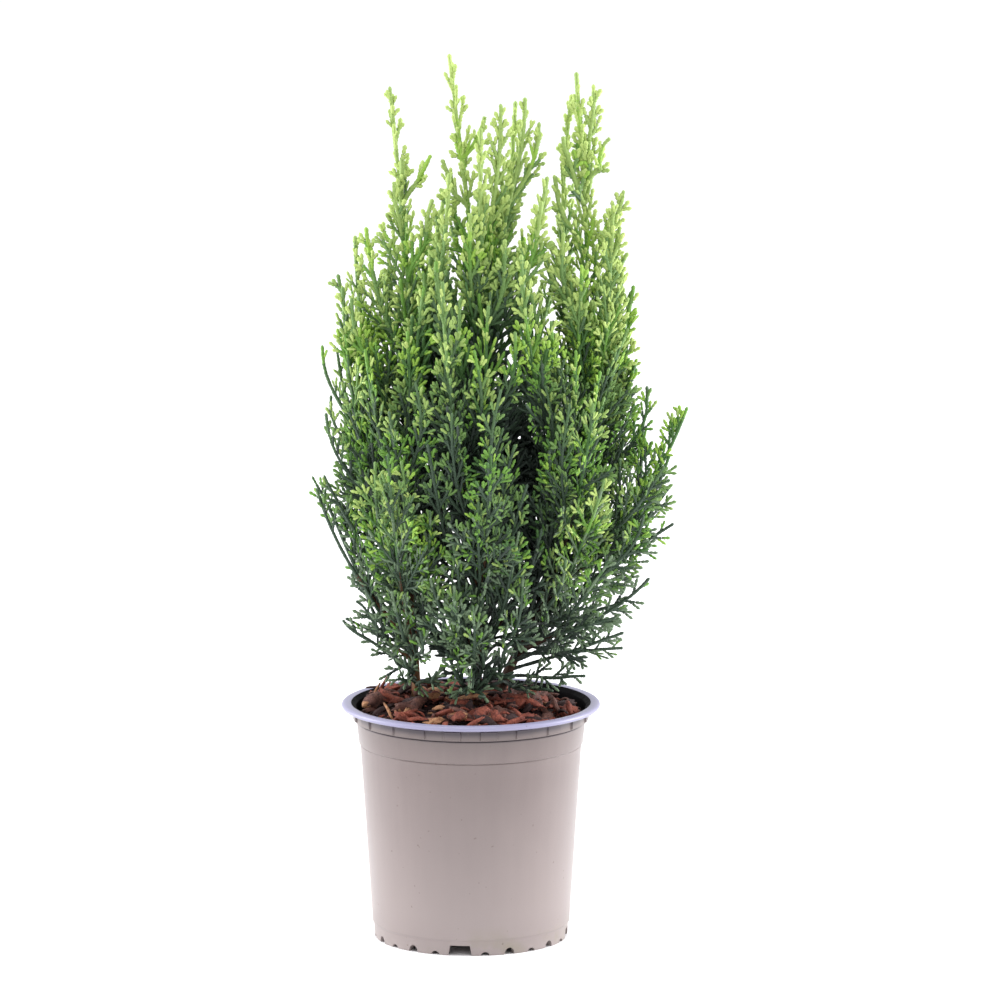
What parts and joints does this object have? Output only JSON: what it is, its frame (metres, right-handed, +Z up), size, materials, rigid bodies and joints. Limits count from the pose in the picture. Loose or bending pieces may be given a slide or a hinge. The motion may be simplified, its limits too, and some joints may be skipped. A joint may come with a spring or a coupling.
{
  "type": "potted lawson cypress",
  "caption": "Young upright Lawson cypress with slender stems and dense flat sprays of green foliage, in a round tapered nursery pot topped with bark mulch.",
  "frame": {"origin": "centre of the pot's flat underside, on the ground, on the pot's axis", "axes": "+Z up along the pot's axis; the side shown in the picture faces -Y; +X to the right as seen from there"},
  "size_m": [0.1933, 0.1538, 0.4426],
  "materials": {
    "taupe_plastic": "satin taupe, moulded",
    "dark_soil": "moist potting soil",
    "bark_mulch": "rough reddish bark chips",
    "cypress_bark": "rough young bark",
    "cypress_foliage": "scale-like leaves, slightly waxy"
  },
  "bodies": {
    "root": {"bark_mulch": "bark_mulch", "bough_shoulder_1": "cypress_bark", "bough_shoulder_2": "cypress_bark", "bough_shoulder_3": "cypress_bark", "bough_shoulder_4": "cypress_bark", "bough_shoulder_5": "cypress_bark", "bough_shoulder_6": "cypress_bark", "bough_shoulder_7": "cypress_bark", "bough_shoulder_8": "cypress_bark", "bough_skirt_1": "cypress_bark", "bough_skirt_2": "cypress_bark", "bough_skirt_3": "cypress_bark", "bough_skirt_4": "cypress_bark", "bough_skirt_5": "cypress_bark", "bough_waist_1": "cypress_bark", "bough_waist_2": "cypress_bark", "bough_waist_3": "cypress_bark", "bough_waist_4": "cypress_bark", "bough_waist_5": "cypress_bark", "bough_waist_6": "cypress_bark", "bough_waist_7": "cypress_bark", "bough_waist_8": "cypress_bark", "foliage_heart_1": "cypress_foliage", "foliage_heart_2": "cypress_foliage", "foliage_heart_3": "cypress_foliage", "foliage_heart_4": "cypress_foliage", "foliage_heart_5": "cypress_foliage", "foliage_shoulder_1": "cypress_foliage", "foliage_shoulder_2": "cypress_foliage", "foliage_shoulder_3": "cypress_foliage", "foliage_shoulder_4": "cypress_foliage", "foliage_shoulder_5": "cypress_foliage", "foliage_shoulder_6": "cypress_foliage", "foliage_shoulder_7": "cypress_foliage", "foliage_shoulder_8": "cypress_foliage", "foliage_skirt_1": "cypress_foliage", "foliage_skirt_2": "cypress_foliage", "foliage_skirt_3": "cypress_foliage", "foliage_skirt_4": "cypress_foliage", "foliage_skirt_5": "cypress_foliage", "foliage_stem_left": "cypress_foliage", "foliage_stem_middle": "cypress_foliage", "foliage_stem_right": "cypress_foliage", "foliage_top_1": "cypress_foliage", "foliage_top_2": "cypress_foliage", "foliage_top_3": "cypress_foliage", "foliage_top_4": "cypress_foliage", "foliage_waist_1": "cypress_foliage", "foliage_waist_2": "cypress_foliage", "foliage_waist_3": "cypress_foliage", "foliage_waist_4": "cypress_foliage", "foliage_waist_5": "cypress_foliage", "foliage_waist_6": "cypress_foliage", "foliage_waist_7": "cypress_foliage", "foliage_waist_8": "cypress_foliage", "pot": "taupe_plastic", "potting_soil": "dark_soil", "stem_left": "cypress_bark", "stem_middle": "cypress_bark", "stem_right": "cypress_bark"}
  },
  "joints": []
}
